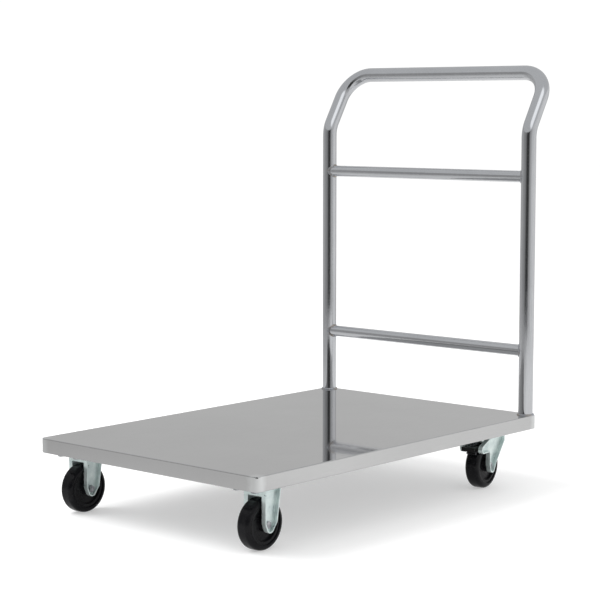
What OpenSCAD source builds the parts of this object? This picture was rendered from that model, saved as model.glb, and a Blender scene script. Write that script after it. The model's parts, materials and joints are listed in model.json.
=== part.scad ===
// Flatbed luggage cart: folded sheet deck, bent-tube push handle, two fixed casters at the
// front and two swivel casters with foot brakes under the handle.
// Millimetres. +X points from the front of the deck to the handle, +Z is up, and the origin is
// on the floor under the middle of the whole cart. The rear left and front left casters are at -Y.

/* [Deck] */
// Length of the deck
deck_l = 900; // [860:10:960]
// Width of the deck
deck_w = 600; // [560:10:640]
// Height of the folded rim
rim_h = 30; // [28:1:34]
// Thickness of the deck sheet
sheet_t = 1.5; // [1.2:0.1:2]
// Radius of the vertical corners
corner_r = 12; // [10:1:14]
// Width of the return lip under the rim, with the sheet
lip_w = 10; // [8:0.5:10]

/* [Handle] */
// Outer diameter of the handle tube
tube_d = 32; // [30:1:33]
// Wall of the handle tube
tube_wall = 1.5; // [1.2:0.1:2]
// Height of the middle of the grip above the deck
grip_h = 742; // [700:2:780]
// Height above the deck where the posts lean back
kick_start = 618; // [600:2:630]
// How far the grip stands behind the posts
kick_out = 75; // [60:1:90]
// Middle radius of the lean-back bend
kick_r = 60; // [50:5:70]
// Middle radius of the two corner bends
grip_r = 64; // [58:1:70]
// Distance of a post's middle from the deck's rear edge
post_inset_x = 17; // [17:0.5:19]
// Distance of a post's middle from the deck's side
post_inset_y = 19; // [18:0.5:22]
// Outer diameter of the crossbars
bar_d = 25; // [22:0.5:26]
// Wall of the crossbars
bar_wall = 1.2; // [1:0.1:1.5]
// Height of the upper crossbar's middle above the deck
upper_bar_h = 518; // [480:2:540]
// Height of the lower crossbar's middle above the deck
lower_bar_h = 140; // [120:2:180]

/* [Casters] */
// Diameter of the wheels
wheel_d = 100; // [98:1:102]
// Width of the tread
tread_w = 32; // [28:1:33]
// Height from the top of the wheel to the top of the mounting plate
head_h = 25; // [25:1:27]
// Length of a mounting plate
plate_l = 96; // [94:1:96]
// Width of a mounting plate
plate_w = 64; // [62:1:66]
// Distance between a plate's bolt holes along the cart
hole_pitch_x = 76; // [74:1:77]
// Distance between a plate's bolt holes across the cart
hole_pitch_y = 45; // [43:1:46]
// Distance of the front axles from the deck's front edge
front_inset = 67; // [64:1:70]
// Distance of the front wheels' middle from the deck's side
front_side = 55; // [52:1:60]
// Distance of the swivel axes from the deck's rear edge
rear_inset = 71; // [71:1:80]
// Distance of the swivel axes from the deck's side
rear_side = 78; // [76:1:90]
// Distance from the swivel axis forward to the axle
trail = 30; // [28:1:32]
// How far each swivel caster stands turned, its wheel outwards
rest_turn = 7; // [0:1:10]

/* [Hidden] */
$fn = 64;

// how far a cutting shape runs past the face that it cuts
over = 1;
// radial gap between a shaft and the bore that turns on it
run_gap = 0.05;
// gap between faces of bodies that move on each other
face_gap = 0.3;

wheel_r = wheel_d / 2;
rim_z = wheel_d + head_h;
deck_z = rim_z + rim_h;
tube_r = tube_d / 2;
bar_r = bar_d / 2;
total_l = deck_l - post_inset_x + kick_out + tube_r;
front_x = -total_l / 2;
rear_x = front_x + deck_l;
deck_mid_x = (front_x + rear_x) / 2;
post_x = rear_x - post_inset_x;
post_y = deck_w / 2 - post_inset_y;
front_axle_x = front_x + front_inset;
front_y = deck_w / 2 - front_side;
pivot_x = rear_x - rear_inset;
pivot_y = deck_w / 2 - rear_side;

// channels under the deck
channel_t = 2;
channel_w = plate_l;
centre_channel_w = 60;
channel_l = deck_w - 2 * lip_w - 1;
channel_h = rim_h - sheet_t;
weld_lip = 8;

// handle
grip_z = deck_z + grip_h;
kick_z = deck_z + kick_start;
lean = atan2(kick_out, grip_z - kick_z);
lean_run = norm([kick_out, grip_z - kick_z]);
kick_cut = kick_r * tan(lean / 2);
// a bent tube is a hair slimmer in its bends
bend_slim = 0.05;
bend_lap = 0.5;
weld_w = 3;
weld_h = 4;
weld_edge = 0.4;

// fasteners: shank radius, distance across flats, height of a head and of a nut
m8_r = 4;
m8_flats = 13;
m8_head = 5.3;
axle_head = 3.5;
m8_nut = 6.5;
m8_hole_r = 4.5;
washer_r = 7;
washer_t = 1.6;
// how far a thread stands out of its nut, and the gap round a bolt in a plain hole
thread_out = 1.5;
slip_gap = 0.2;

// casters
plate_t = 3;
plate_corner_r = 6;
plate_z = rim_z - plate_t;
fork_t = 2.5;
leg_gap = tread_w + 3;
leg_y = leg_gap / 2;
flange_w = 10;
fork_y = leg_y + flange_w;
// a leg ends in a rounded point under the axle
leg_end_r = 10;
leg_end_z = wheel_r - 15;
// the straight edges run in this far under the round, so that they cross it cleanly
leg_end_sink = 0.25;
// a rigid fork's front edge is upright and its rear edge leans back
leg_front = 14;
leg_rear = 19;
leg_bend_z = wheel_r + 4;
// the crown ends clear of the heads of the mounting bolts
crown_rear = 30;
apron_z = wheel_d + 5;
bush_r = 8;
core_r = 38;
hub_r = 13;
hub_l = leg_gap - 2 * face_gap;
core_w = tread_w - 4;
core_band = 5;
web_half = 9;
draft = 1;
shoulder_r = 9;

// swivel head
crown_z = plate_z - 13;
kingpin_r = 6;
race_r = 19;
ball_r = 3.1;
ball_z = plate_z - 5;
ball_count = 14;
cup_r = 26;
cup_t = 1.7;
rear_leg_front = 13;
rear_leg_rear = 16;
crown_r = 28;
track_r = cup_r - cup_t - 1;
cup_eye_r = kingpin_r + 5;
// the rear edge of a swivel fork: how far behind the swivel axis, and where its slant ends
fork_back = 24;
slant_high_z = crown_z - 11;
// keeps the slanted flange as wide as the others
slant_inset = 0.35;
kingpin_flats = 19;
kingpin_nut_h = 6;

// brake, with places measured from the axle
brake_x = -39;
brake_z = wheel_r + 41;
brake_pin_r = 3;
pin_out = 1;
brake_hub_r = 5.5;
brake_arm_r = 9;
arm_rise = 22;
arm_root = 2;
leaf_t = 0.8;
leaf_w = 12;
leaf_root_x = 6;
leaf_bend_x = -8;
pedal_half_w = 16;
pedal_tip_x = -62;
pedal_t = 3;
pedal_lip = 9;
shoe_gap = 4;
shoe_t = 4;
shoe_from = 136;
shoe_to = 148;
shoe_w = 22;

// ---- shared shapes ----

// a plate with four round vertical corners, standing on z = 0
module round_plate(l, w, h, r) {
    cube_at = [[l - 2 * r, w], [l, w - 2 * r]];
    for (size = cube_at) translate([-size[0] / 2, -size[1] / 2, 0]) cube([size[0], size[1], h]);
    for (sx = [-1, 1], sy = [-1, 1])
        translate([sx * (l / 2 - r), sy * (w / 2 - r), 0]) cylinder(h = h, r = r);
}

// a flat outline drawn in X and Z, made w thick about y = 0
module side_on(w) {
    rotate([90, 0, 0]) linear_extrude(w, center = true) children();
}

// a round bar along Y, centred on y = 0
module cross_rod(l, r) {
    rotate([90, 0, 0]) cylinder(h = l, r = r, center = true);
}

// a hexagon along +Z from z = 0, with two flats square to X
module hexagon(flats, h) {
    rotate([0, 0, 30]) cylinder(h = h, d = flats / cos(30), $fn = 6);
}

// the four bolt places of a mounting plate
module at_plate_holes() {
    for (sx = [-1, 1], sy = [-1, 1])
        translate([sx * hole_pitch_x / 2, sy * hole_pitch_y / 2, 0]) children();
}

// both front casters' places, at the floor under the axle
module at_front(side) {
    translate([front_axle_x, side * front_y, 0]) children();
}

// a swivel axis, at the floor, square to the cart
module at_pivot(side) {
    translate([pivot_x, side * pivot_y, 0]) children();
}

// a swivel caster's own frame: origin on the swivel axis, turned as it stands
module at_swivel(side) {
    at_pivot(side) rotate([0, 0, -side * rest_turn]) children();
}

// a swivel caster's axle, at the floor, turned as it stands
module at_rear_axle(side) {
    at_swivel(side) translate([-trail, 0, 0]) children();
}

// ---- deck ----

module deck_tray() {
    lip_in = 2 * lip_w;
    color("silver") difference() {
        translate([deck_mid_x, 0, rim_z]) round_plate(deck_l, deck_w, rim_h, corner_r);
        translate([deck_mid_x, 0, rim_z + sheet_t])
            round_plate(deck_l - 2 * sheet_t, deck_w - 2 * sheet_t, rim_h - 2 * sheet_t,
                corner_r - sheet_t);
        translate([deck_mid_x - deck_l / 2 + lip_w, -deck_w / 2 + lip_w, rim_z - over])
            cube([deck_l - lip_in, deck_w - lip_in, sheet_t + 2 * over]);
    }
}

// a folded channel across the deck, its flat web down, welded to the sheet by two outer lips
module channel(w) {
    color("gainsboro") side_on(channel_l) {
        translate([-w / 2, rim_z]) square([w, channel_t]);
        for (s = [-1, 1]) {
            translate([s * (w - channel_t) / 2 - channel_t / 2, rim_z])
                square([channel_t, channel_h]);
            translate([s * (w + weld_lip - channel_t) / 2 - (weld_lip + channel_t) / 2,
                rim_z + channel_h - channel_t]) square([weld_lip + channel_t, channel_t]);
        }
    }
}

module caster_channel(side_y) {
    difference() {
        channel(channel_w);
        for (s = [-1, 1])
            translate([0, s * side_y, rim_z - over]) at_plate_holes()
                cylinder(h = channel_t + 2 * over, r = m8_hole_r);
    }
}

module front_channel() translate([front_axle_x, 0, 0]) caster_channel(front_y);

module rear_channel() translate([pivot_x, 0, 0]) caster_channel(pivot_y);

module centre_channel() translate([deck_mid_x, 0, 0]) channel(centre_channel_w);

// ---- handle ----

// the cut across the tube, a hair slimmer where slim is set
module tube_cut(slim) {
    difference() {
        circle(r = tube_r - slim);
        circle(r = tube_r - tube_wall + slim);
    }
}

// a straight stretch of tube along +Z from low to high
module straight(low, high) {
    translate([0, 0, low]) linear_extrude(high - low) tube_cut(0);
}

// a bend of the tube about the origin, from +X towards +Y
module bend(r, turn) {
    rotate_extrude(angle = turn) translate([r, 0]) tube_cut(bend_slim);
}

// half of the bent tube on the +Y side; each straight laps a little way over its bends
module half_run() {
    translate([post_x, post_y, deck_z]) straight(0, kick_start - kick_cut + bend_lap);
    translate([post_x + kick_r, post_y, kick_z - kick_cut])
        rotate([90, 0, 0]) rotate([0, 0, 180 - lean]) bend(kick_r, lean);
    translate([post_x, post_y, kick_z]) rotate([0, lean, 0]) {
        straight(kick_cut - bend_lap, lean_run - grip_r + bend_lap);
        translate([0, -grip_r, lean_run - grip_r]) rotate([90, 0, 90]) bend(grip_r, 90);
    }
}

module handle_tube() {
    grip_half = post_y - grip_r + bend_lap;
    color("lightgray") {
        half_run();
        mirror([0, 1, 0]) half_run();
        translate([post_x + kick_out, 0, grip_z]) rotate([90, 0, 0])
            straight(-grip_half, grip_half);
    }
}

module post_columns(r) {
    for (s = [-1, 1]) translate([post_x, s * post_y, deck_z])
        cylinder(h = kick_start - kick_cut, r = r);
}

module crossbar(h) {
    color("lightgray") difference() {
        translate([post_x, 0, deck_z + h]) cross_rod(2 * post_y, bar_r);
        translate([post_x, 0, deck_z + h]) cross_rod(2 * post_y + 2 * over, bar_r - bar_wall);
        post_columns(tube_r);
    }
}

module upper_crossbar() crossbar(upper_bar_h);

module lower_crossbar() crossbar(lower_bar_h);

// a bead of weld round each post where it stands on the deck, kept inside the deck's edge
module post_welds() {
    color("darkgray") intersection() {
        for (s = [-1, 1]) translate([post_x, s * post_y, deck_z]) difference() {
            cylinder(h = weld_h, r1 = tube_r + weld_w, r2 = tube_r + weld_edge);
            translate([0, 0, -over]) cylinder(h = weld_h + 2 * over, r = tube_r);
        }
        translate([rear_x - deck_l, -deck_w / 2, deck_z]) cube([deck_l, deck_w, weld_h]);
    }
}

// a bead of weld round each end of the two crossbars
module crossbar_welds() {
    seat = post_y - tube_r;
    color("darkgray") for (h = [lower_bar_h, upper_bar_h], s = [-1, 1]) difference() {
        translate([post_x, s * (seat - weld_w), deck_z + h]) rotate([-s * 90, 0, 0])
            cylinder(h = 3 * weld_w, r1 = bar_r + weld_edge, r2 = bar_r + weld_w);
        translate([post_x, 0, deck_z + h]) cross_rod(2 * post_y, bar_r);
        post_columns(tube_r);
    }
}

// ---- caster fasteners ----

module at_all_plates() {
    for (side = [-1, 1]) {
        translate([front_axle_x, side * front_y, 0]) at_plate_holes() children();
        translate([pivot_x, side * pivot_y, 0]) at_plate_holes() children();
    }
}

module caster_bolts() {
    shank = plate_t + channel_t + washer_t + m8_nut + thread_out;
    color("dimgray") at_all_plates() {
        translate([0, 0, plate_z - m8_head]) hexagon(m8_flats, m8_head);
        translate([0, 0, plate_z]) cylinder(h = shank, r = m8_r);
    }
}

module caster_washers() {
    color("silver") at_all_plates() translate([0, 0, rim_z + channel_t]) difference() {
        cylinder(h = washer_t, r = washer_r);
        translate([0, 0, -over]) cylinder(h = washer_t + 2 * over, r = m8_r);
    }
}

module caster_nuts() {
    color("dimgray") at_all_plates()
        translate([0, 0, rim_z + channel_t + washer_t]) difference() {
            hexagon(m8_flats, m8_nut);
            translate([0, 0, -over]) cylinder(h = m8_nut + 2 * over, r = m8_r);
        }
}

// a mounting plate with its four bolt holes and a middle hole of radius r, or none if r is 0
module mounting_plate(r) {
    color("powderblue") difference() {
        translate([0, 0, plate_z]) round_plate(plate_l, plate_w, plate_t, plate_corner_r);
        translate([0, 0, plate_z - over]) at_plate_holes()
            cylinder(h = plate_t + 2 * over, r = m8_hole_r);
        if (r > 0) translate([0, 0, plate_z - over]) cylinder(h = plate_t + 2 * over, r = r);
    }
}

// ---- wheels, bolts and bushes, each about the axle at x = 0 ----

module wheel_core() {
    color([0.12, 0.12, 0.13]) translate([0, 0, wheel_r]) rotate([90, 0, 0])
        rotate_extrude() polygon([
            [bush_r + run_gap, -hub_l / 2], [hub_r, -hub_l / 2],
            [hub_r + draft, -web_half - draft], [core_r - core_band - draft, -web_half],
            [core_r - core_band, -core_w / 2], [core_r, -core_w / 2],
            [core_r, core_w / 2], [core_r - core_band, core_w / 2],
            [core_r - core_band - draft, web_half], [hub_r + draft, web_half + draft],
            [hub_r, hub_l / 2], [bush_r + run_gap, hub_l / 2]
        ]);
}

module tyre() {
    side_r = core_r + 2;
    shoulder_x = wheel_r - shoulder_r;
    shoulder_y = tread_w / 2 - shoulder_r;
    color([0.06, 0.06, 0.07]) translate([0, 0, wheel_r]) rotate([90, 0, 0]) rotate_extrude() {
        translate([core_r, -core_w / 2]) square([shoulder_x - core_r, core_w]);
        translate([side_r, -tread_w / 2]) square([shoulder_x - side_r, tread_w]);
        translate([shoulder_x - over, -shoulder_y]) square([shoulder_r + over, 2 * shoulder_y]);
        // the rounded shoulders, kept outside the core
        intersection() {
            for (s = [-1, 1]) translate([shoulder_x, s * shoulder_y]) circle(r = shoulder_r);
            translate([side_r, -tread_w / 2]) square([wheel_r - side_r, tread_w]);
        }
    }
}

module bush() {
    color("silver") translate([0, 0, wheel_r]) difference() {
        cross_rod(leg_gap, bush_r);
        cross_rod(leg_gap + 2 * over, m8_r);
    }
}

// the head is on the cart's outer side
module axle_bolt(side) {
    reach = leg_y + fork_t;
    color("silver") translate([0, 0, wheel_r]) {
        translate([0, side * reach, 0]) rotate([-side * 90, 0, 0]) hexagon(m8_flats, axle_head);
        translate([0, side * reach, 0]) rotate([side * 90, 0, 0])
            cylinder(h = 2 * reach + m8_nut + thread_out, r = m8_r);
    }
}

module axle_nut(side) {
    color("silver") translate([0, -side * (leg_y + fork_t), wheel_r])
        rotate([side * 90, 0, 0]) difference() {
            hexagon(m8_flats, m8_nut);
            translate([0, 0, -over]) cylinder(h = m8_nut + 2 * over, r = m8_r);
        }
}

// ---- rigid fork ----

// where a line from the point p touches a circle, on the side given by 1 or -1
function touch(p, middle, r, side) =
    let (d = p - middle, turn = atan2(d[1], d[0]) + side * acos(r / norm(d)))
        middle + r * [cos(turn), sin(turn)];

// the low end of a leg: a rounded point under the axle, joined to a front and a rear corner
module leg_end(front, rear, inset) {
    r = leg_end_r - inset;
    low_r = r - leg_end_sink;
    middle = [0, leg_end_z + leg_end_r];
    polygon([
        front, touch(front, middle, low_r, 1), middle, touch(rear, middle, low_r, -1), rear
    ]);
    translate(middle) circle(r = r);
}

// a rigid fork's leg seen from the side, drawn smaller by inset
module rigid_leg_outline(inset) {
    front = [-leg_front + inset, leg_bend_z];
    rear = [leg_rear - inset, leg_bend_z];
    leg_end(front, rear, inset);
    polygon([
        front, rear, [crown_rear - inset, plate_z - inset], [-leg_front + inset, plate_z - inset]
    ]);
}

module rigid_fork() {
    color("powderblue") difference() {
        union() {
            side_on(2 * fork_y) rigid_leg_outline(0);
            translate([-leg_front, -fork_y, plate_z - fork_t])
                cube([leg_front + crown_rear, 2 * fork_y, fork_t]);
        }
        // the wheel's space between the legs, closed at the top by two aprons
        side_on(leg_gap) rigid_leg_outline(fork_t);
        translate([-wheel_r, -leg_y, 0]) cube([wheel_d, leg_gap, apron_z]);
        // the hollow outer face of each leg, inside its turned-out flange
        for (s = [-1, 1]) translate([0, s * (leg_y + fork_t + flange_w / 2), 0])
            side_on(flange_w) rigid_leg_outline(fork_t);
        translate([0, 0, wheel_r]) cross_rod(2 * fork_y + 2 * over, m8_r + slip_gap);
    }
}

// ---- swivel caster ----

// the pressed cup under the plate that holds the balls in
module race_cup() {
    skirt_z = crown_z + fork_t + 1;
    color("silver") difference() {
        translate([0, 0, skirt_z]) cylinder(h = plate_z - skirt_z, r = cup_r);
        translate([0, 0, crown_z]) cylinder(h = plate_z - cup_t - crown_z, r = cup_r - cup_t);
        translate([0, 0, crown_z]) cylinder(h = rim_z - crown_z, r = cup_eye_r);
    }
}

module kingpin() {
    foot_z = crown_z - kingpin_nut_h - 2;
    color("silver") translate([0, 0, foot_z]) cylinder(h = rim_z - foot_z, r = kingpin_r);
}

module kingpin_nut() {
    color("silver") translate([0, 0, crown_z - face_gap - kingpin_nut_h]) difference() {
        hexagon(kingpin_flats, kingpin_nut_h);
        translate([0, 0, -over]) cylinder(h = kingpin_nut_h + 2 * over, r = kingpin_r);
    }
}

module balls() {
    color("white") for (i = [0 : ball_count - 1]) rotate([0, 0, i * 360 / ball_count])
        translate([race_r, 0, ball_z]) sphere(r = ball_r);
}

// a swivel fork's leg seen from the side, measured from the axle, drawn smaller by inset
module swivel_leg_outline(inset) {
    front_x = -rear_leg_front + inset;
    front = [front_x, leg_bend_z];
    rear = [rear_leg_rear - inset, leg_bend_z];
    top = crown_z + fork_t - inset;
    back_x = trail + fork_back - inset;
    arm_r = brake_arm_r - inset;
    arm_low_z = brake_z - arm_r;
    arm_top = [brake_x - arm_r * sin(arm_rise), brake_z + arm_r * cos(arm_rise)];
    leg_end(front, rear, inset);
    polygon([
        front, rear, [back_x, slant_high_z + slant_inset * inset], [back_x, top],
        [arm_top[0] + (top - arm_top[1]) / tan(arm_rise), top], arm_top,
        [brake_x, arm_low_z], [front_x - arm_root, arm_low_z],
        [front_x, arm_low_z - 2 * arm_root]
    ]);
    translate([brake_x, brake_z]) circle(r = arm_r);
}

module swivel_fork() {
    color("powderblue") difference() {
        union() {
            translate([-trail, 0, 0]) side_on(2 * fork_y) swivel_leg_outline(0);
            translate([0, 0, crown_z]) cylinder(h = fork_t, r = crown_r);
            // the lower ball track
            translate([0, 0, crown_z])
                cylinder(h = ball_z - ball_r - run_gap - crown_z, r = track_r);
        }
        // the wheel's space between the legs, under the crown
        translate([-trail - wheel_d, -leg_y, 0]) cube([wheel_d * 2, leg_gap, crown_z]);
        translate([-trail - wheel_d, -leg_y, 0])
            cube([wheel_d - rear_leg_front, leg_gap, rim_z]);
        // the hollow outer face of each leg, inside its turned-out flange
        for (s = [-1, 1]) translate([-trail, s * (leg_y + fork_t + flange_w / 2), 0])
            side_on(flange_w) swivel_leg_outline(fork_t);
        translate([0, 0, crown_z - over]) cylinder(h = rim_z - crown_z, r = kingpin_r + run_gap);
        translate([-trail, 0, wheel_r]) cross_rod(2 * fork_y + 2 * over, m8_r + slip_gap);
        translate([-trail + brake_x, 0, brake_z]) cross_rod(2 * fork_y + 2 * over, brake_pin_r);
    }
}

// the pedal: a hub on its pin, a tread plate and a lip turned down at the front
module brake_pedal() {
    hub_w = leg_gap - 2 * face_gap;
    color([0.1, 0.1, 0.1]) difference() {
        union() {
            translate([brake_x, 0, brake_z]) cross_rod(hub_w, brake_hub_r);
            translate([pedal_tip_x, -pedal_half_w, brake_z + brake_hub_r - pedal_t])
                cube([brake_x - pedal_tip_x, 2 * pedal_half_w, pedal_t]);
            translate([pedal_tip_x, -pedal_half_w, brake_z + brake_hub_r - pedal_lip])
                cube([pedal_t, 2 * pedal_half_w, pedal_lip]);
        }
        translate([brake_x, 0, brake_z]) cross_rod(hub_w + 2 * over, brake_pin_r + run_gap);
    }
}

// the shoe hangs from the pedal's hub in front of the tread
module brake_shoe() {
    inner = wheel_r + shoe_gap;
    outer = inner + shoe_t;
    color("dimgray") difference() {
        translate([0, 0, wheel_r]) cross_rod(shoe_w, outer);
        translate([0, 0, wheel_r]) cross_rod(shoe_w + 2 * over, inner);
        translate([brake_x, 0, brake_z]) cross_rod(shoe_w + 2 * over, brake_hub_r);
        translate([0, 0, wheel_r]) side_on(shoe_w + 2 * over) polygon([
            [0, 0], 3 * wheel_r * [cos(shoe_from), sin(shoe_from)], [3 * wheel_r, 3 * wheel_r],
            [3 * wheel_r, -3 * wheel_r], [-3 * wheel_r, -3 * wheel_r],
            3 * wheel_r * [cos(shoe_to), sin(shoe_to)]
        ]);
    }
}

module brake_pin() {
    color("silver") translate([brake_x, 0, brake_z])
        cross_rod(2 * (leg_y + fork_t + pin_out), brake_pin_r);
}

// a leaf spring from under the crown to the top of the pedal's hub
module brake_spring() {
    tip = [brake_x, brake_z + brake_hub_r + face_gap];
    color("slategray") side_on(leaf_w) polygon([
        [leaf_root_x, crown_z], [leaf_root_x, crown_z - leaf_t],
        [leaf_bend_x, crown_z - leaf_t], tip, tip + [0, leaf_t], [leaf_bend_x, crown_z]
    ]);
}

// ---- nodes ----

deck_tray();
front_channel();
centre_channel();
rear_channel();
handle_tube();
upper_crossbar();
lower_crossbar();
post_welds();
crossbar_welds();
caster_bolts();
caster_washers();
caster_nuts();
for (side = [-1, 1]) {
    hand = side < 0 ? "left" : "right";
    front = str("front_", hand, "_");
    rear = str("rear_", hand, "_");
    at_front(side) {
        mounting_plate(0);
        rigid_fork();
        axle_bolt(side);
        axle_nut(side);
        bush();
        wheel_core();
        tyre();
    }
    at_pivot(side) {
        mounting_plate(kingpin_r);
        race_cup();
        kingpin();
        kingpin_nut();
    }
    at_swivel(side) {
        balls();
        swivel_fork();
    }
    at_rear_axle(side) {
        axle_bolt(side);
        axle_nut(side);
        bush();
        wheel_core();
        tyre();
        brake_pedal();
        brake_shoe();
        brake_pin();
        brake_spring();
    }
}
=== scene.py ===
"""Looks of a flatbed luggage cart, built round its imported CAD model.

The cart stands on the floor at z = 0 with its push handle at +X. Everything is in metres.
Each sub-assembly is a class that models its pieces and gives them their finish.
"""

import json
import logging
import math
from dataclasses import dataclass, field
from enum import Enum
from typing import Any, Callable

import bmesh
import bpy
from mathutils import Matrix, Vector

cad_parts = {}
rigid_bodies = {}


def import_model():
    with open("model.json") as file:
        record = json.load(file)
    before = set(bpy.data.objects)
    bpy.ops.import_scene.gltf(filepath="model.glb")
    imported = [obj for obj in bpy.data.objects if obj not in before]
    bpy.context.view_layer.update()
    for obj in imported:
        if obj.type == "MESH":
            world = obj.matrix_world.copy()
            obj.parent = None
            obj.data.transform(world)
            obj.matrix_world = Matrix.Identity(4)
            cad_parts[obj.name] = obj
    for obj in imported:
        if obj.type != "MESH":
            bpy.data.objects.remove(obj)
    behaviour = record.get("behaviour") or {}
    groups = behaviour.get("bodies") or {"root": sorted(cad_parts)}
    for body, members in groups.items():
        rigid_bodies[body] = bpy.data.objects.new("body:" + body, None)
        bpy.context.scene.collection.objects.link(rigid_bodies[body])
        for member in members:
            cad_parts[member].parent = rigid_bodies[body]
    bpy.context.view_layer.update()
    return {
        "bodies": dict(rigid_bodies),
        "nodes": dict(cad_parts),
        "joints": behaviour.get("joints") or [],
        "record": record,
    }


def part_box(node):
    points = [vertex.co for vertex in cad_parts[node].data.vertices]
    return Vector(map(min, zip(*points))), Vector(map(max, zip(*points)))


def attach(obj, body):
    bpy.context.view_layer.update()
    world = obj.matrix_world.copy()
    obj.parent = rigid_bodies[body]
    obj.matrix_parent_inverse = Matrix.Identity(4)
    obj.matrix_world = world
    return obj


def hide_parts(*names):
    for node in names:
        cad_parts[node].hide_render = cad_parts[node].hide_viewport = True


LOG = logging.getLogger("cart")
Colour = tuple[float, float, float]

# metres: points closer than this are one point, and a place within TINY of a plane is on it
DOUBLES = 0.000005
TINY = 0.00001
# a unit normal with more than FACING along an axis faces that way
FACING = 0.9


class Hand(Enum):
    """The side of the cart, as seen by someone who pushes it."""

    LEFT = -1
    RIGHT = 1

    @property
    def word(self) -> str:
        """The side's word in node and body names."""
        return self.name.lower()


class Stock(Enum):
    """The record's material slots."""

    DECK = "deck_steel"
    CHANNEL = "channel_steel"
    TUBE = "tube_steel"
    WELD = "weld_steel"
    ZINC = "zinc_steel"
    BOLT = "bolt_steel"
    BEARING = "bearing_steel"
    CORE = "wheel_core"
    TYRE = "tyre_black"
    PEDAL = "brake_black"
    SHOE = "shoe_steel"


class Run(Enum):
    """The way the grain of a metal runs, as how much each axis of the pattern is squeezed."""

    ALONG = (1.0, 60.0, 60.0)
    UPRIGHT = (60.0, 60.0, 1.5)
    ACROSS = (60.0, 1.5, 60.0)


# ---- finishes ----


class Recipe:
    """The node tree of one material, put together step by step."""

    def __init__(self, name: str) -> None:
        """Starts an empty metal or plastic.

        Args:
            name: The material's name.
        """
        self.material = bpy.data.materials.new(name)
        self.material.use_nodes = True
        self.tree = self.material.node_tree
        self.shader = self.tree.nodes["Principled BSDF"]
        self.place = self.tree.nodes.new("ShaderNodeTexCoord").outputs["Object"]

    def plain(self, **values: Any) -> None:
        """Sets sockets of the shader that are the same all over.

        Args:
            values: Each socket's name, with underscores for spaces, and its value.
        """
        for name, value in values.items():
            self.shader.inputs[name.replace("_", " ")].default_value = value

    def mapped(self, scale: tuple[float, float, float], centre: Vector | None = None,
               turn: float = 0.0) -> Any:
        """Object coordinates, centred on a point and stretched.

        Args:
            scale: How much each axis is squeezed.
            centre: The point that becomes the pattern's middle.
            turn: The pattern's turn about Z, in radians.

        Returns:
            The socket with the new coordinates.
        """
        if centre is not None:
            moved = self.tree.nodes.new("ShaderNodeMapping")
            moved.vector_type = "TEXTURE"
            moved.inputs["Location"].default_value = centre
            moved.inputs["Rotation"].default_value = (0.0, 0.0, turn)
            self.tree.links.new(self.place, moved.inputs["Vector"])
            start = moved.outputs["Vector"]
        else:
            start = self.place
        node = self.tree.nodes.new("ShaderNodeMapping")
        node.inputs["Scale"].default_value = scale
        self.tree.links.new(start, node.inputs["Vector"])
        return node.outputs["Vector"]

    def noise(self, where: Any, scale: float, detail: float = 3.0, rough: float = 0.55) -> Any:
        """A soft random pattern.

        Args:
            where: The coordinates it reads.
            scale: How fine it is, in cells a metre.
            detail: How many finer layers it has.
            rough: How strong the finer layers are.

        Returns:
            The pattern's value socket.
        """
        node = self.tree.nodes.new("ShaderNodeTexNoise")
        node.inputs["Scale"].default_value = scale
        node.inputs["Detail"].default_value = detail
        node.inputs["Roughness"].default_value = rough
        self.tree.links.new(where, node.inputs["Vector"])
        return node.outputs["Fac"]

    def spread(self, value: Any, low: float, high: float, out_low: float, out_high: float) -> Any:
        """Maps a range of a pattern onto another range, and stops at its ends.

        Args:
            value: The socket that is mapped.
            low: The pattern's value that gives out_low.
            high: The pattern's value that gives out_high.
            out_low: One end of the result.
            out_high: The other end of the result.

        Returns:
            The result's socket.
        """
        node = self.tree.nodes.new("ShaderNodeMapRange")
        for name, number in (("From Min", low), ("From Max", high),
                             ("To Min", out_low), ("To Max", out_high)):
            node.inputs[name].default_value = number
        self.tree.links.new(value, node.inputs["Value"])
        return node.outputs["Result"]

    def math(self, step: str, first: Any, second: Any = 0.0) -> Any:
        """One step of arithmetic.

        Args:
            step: The operation's name.
            first: A socket or a number.
            second: A socket or a number.

        Returns:
            The result's socket.
        """
        node = self.tree.nodes.new("ShaderNodeMath")
        node.operation = step
        for slot, value in enumerate((first, second)):
            if isinstance(value, (int, float)):
                node.inputs[slot].default_value = value
            else:
                self.tree.links.new(value, node.inputs[slot])
        return node.outputs["Value"]

    def axis(self, where: Any, name: str) -> Any:
        """One axis of some coordinates.

        Args:
            where: The coordinates.
            name: X, Y or Z.

        Returns:
            That axis's socket.
        """
        node = self.tree.nodes.new("ShaderNodeSeparateXYZ")
        self.tree.links.new(where, node.inputs["Vector"])
        return node.outputs[name]

    def blend(self, share: Any, first: Any, second: Any) -> Any:
        """A colour between two others.

        Args:
            share: The socket that says how much of the second shows.
            first: A colour or a colour socket.
            second: A colour or a colour socket.

        Returns:
            The colour's socket.
        """
        node = self.tree.nodes.new("ShaderNodeMix")
        node.data_type = "RGBA"
        self.tree.links.new(share, node.inputs["Factor"])
        for slot, value in ((6, first), (7, second)):
            if isinstance(value, tuple):
                node.inputs[slot].default_value = (*value, 1.0)
            else:
                self.tree.links.new(value, node.inputs[slot])
        return node.outputs[2]

    def bump(self, height: Any, strength: float, depth: float) -> Any:
        """Small relief.

        Args:
            height: The socket with the height.
            strength: How strongly it shows.
            depth: The relief's depth in metres.

        Returns:
            The socket with the new normal.
        """
        node = self.tree.nodes.new("ShaderNodeBump")
        node.inputs["Strength"].default_value = strength
        node.inputs["Distance"].default_value = depth
        self.tree.links.new(height, node.inputs["Height"])
        return node.outputs["Normal"]

    def feed(self, name: str, socket: Any) -> None:
        """Joins a result to one of the shader's sockets."""
        self.tree.links.new(socket, self.shader.inputs[name])


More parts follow.
